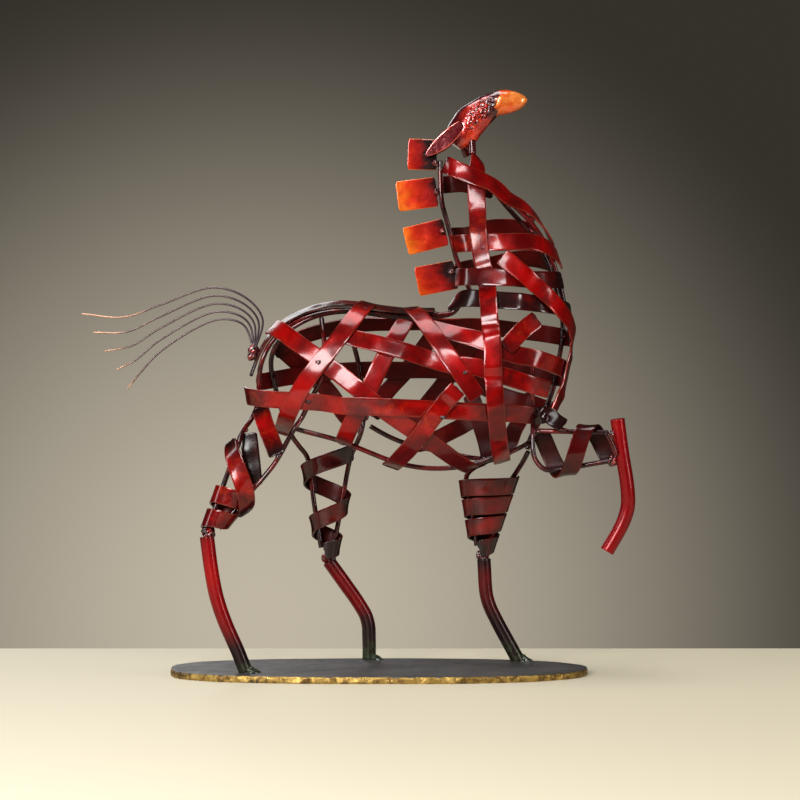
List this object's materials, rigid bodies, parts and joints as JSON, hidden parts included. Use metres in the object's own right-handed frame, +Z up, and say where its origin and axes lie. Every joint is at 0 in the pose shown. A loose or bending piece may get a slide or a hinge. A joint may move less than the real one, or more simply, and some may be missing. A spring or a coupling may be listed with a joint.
{
  "type": "scrap metal horse sculpture",
  "caption": "Standing horse woven from lacquered flat steel strips and round rods, one foreleg raised, with a plate mane, a wire tail and an oval base plate.",
  "frame": {"origin": "middle of the underside of the oval base plate", "axes": "+Z up; +X towards the horse's front; the horse's right side, with the raised foreleg, faces -Y"},
  "size_m": [0.325, 0.1158, 0.3456],
  "materials": {
    "strip_lacquer": "glossy candy-red lacquer over steel, mottled orange to maroon, sooted at the welds",
    "strip_lacquer_dull": "brown-maroon lacquer, duller, on the far-side strips",
    "rod_lacquer": "glossy black-maroon lacquer on round rod",
    "leg_lacquer": "deep candy-red lacquer fading to black at the feet",
    "mane_lacquer": "translucent lacquer, black at the weld through red to orange at the free end",
    "head_lacquer": "red lacquer with a rough weld-textured cheek and an orange muzzle",
    "tail_wire": "pinkish brown lacquered wire",
    "base_steel": "satin charcoal top with a rough torch-cut golden rim"
  },
  "bodies": {
    "root": {"base-plate": "base_steel", "hind-shin-right": "leg_lacquer", "hind-shin-left": "leg_lacquer", "fore-shin-left": "leg_lacquer", "fore-shin-right": "leg_lacquer", "spine-rod-right": "rod_lacquer", "spine-rod-left": "rod_lacquer", "flank-rod-right": "rod_lacquer", "flank-rod-left": "rod_lacquer", "belly-rod-right": "rod_lacquer", "belly-rod-left": "rod_lacquer", "neck-rod-back": "rod_lacquer", "neck-rod-front-right": "rod_lacquer", "neck-rod-front-left": "rod_lacquer", "chest-rod-right": "rod_lacquer", "forearm-rod-right": "rod_lacquer", "elbow-rod-back": "rod_lacquer", "elbow-rod-front": "rod_lacquer", "knee-rod": "rod_lacquer", "flank-strip-left": "strip_lacquer_dull", "back-strip-left": "strip_lacquer_dull", "rib-strip-left-1": "strip_lacquer_dull", "rib-strip-left-2": "strip_lacquer_dull", "rib-strip-left-3": "strip_lacquer_dull", "shoulder-strip-left": "strip_lacquer_dull", "elbow-strip-left-1": "strip_lacquer_dull", "elbow-strip-left-2": "strip_lacquer_dull", "belly-strip-left": "strip_lacquer_dull", "back-strip-right": "strip_lacquer", "rib-strip-right-4": "strip_lacquer", "rib-strip-right-2": "strip_lacquer", "flank-strip-right-upper": "strip_lacquer", "shoulder-strip-right": "strip_lacquer", "flank-strip-right": "strip_lacquer", "shoulder-strip-short": "strip_lacquer", "rib-strip-right-3": "strip_lacquer", "rib-strip-right-1": "strip_lacquer", "rib-strip-right-5": "strip_lacquer", "throat-strip-right": "strip_lacquer", "withers-strip-right": "strip_lacquer", "breast-strip-right": "strip_lacquer", "cheek-strip-right": "strip_lacquer", "neck-strip-right-1": "strip_lacquer", "neck-strip-right-2": "strip_lacquer", "neck-strip-left-1": "strip_lacquer_dull", "neck-strip-left-2": "strip_lacquer_dull", "neck-strip-left-3": "strip_lacquer_dull", "gaskin-strip-right": "strip_lacquer", "hock-strip-right": "strip_lacquer", "gaskin-strip-left": "strip_lacquer_dull", "forearm-strip-left": "strip_lacquer_dull", "forearm-strip-right": "strip_lacquer", "thigh-strip-right": "strip_lacquer", "thigh-strip-right-inner": "strip_lacquer", "mane-plate-1": "mane_lacquer", "mane-plate-2": "mane_lacquer", "mane-plate-3": "mane_lacquer", "mane-plate-4": "mane_lacquer", "tail": "tail_wire", "head": "head_lacquer"}
  },
  "joints": []
}
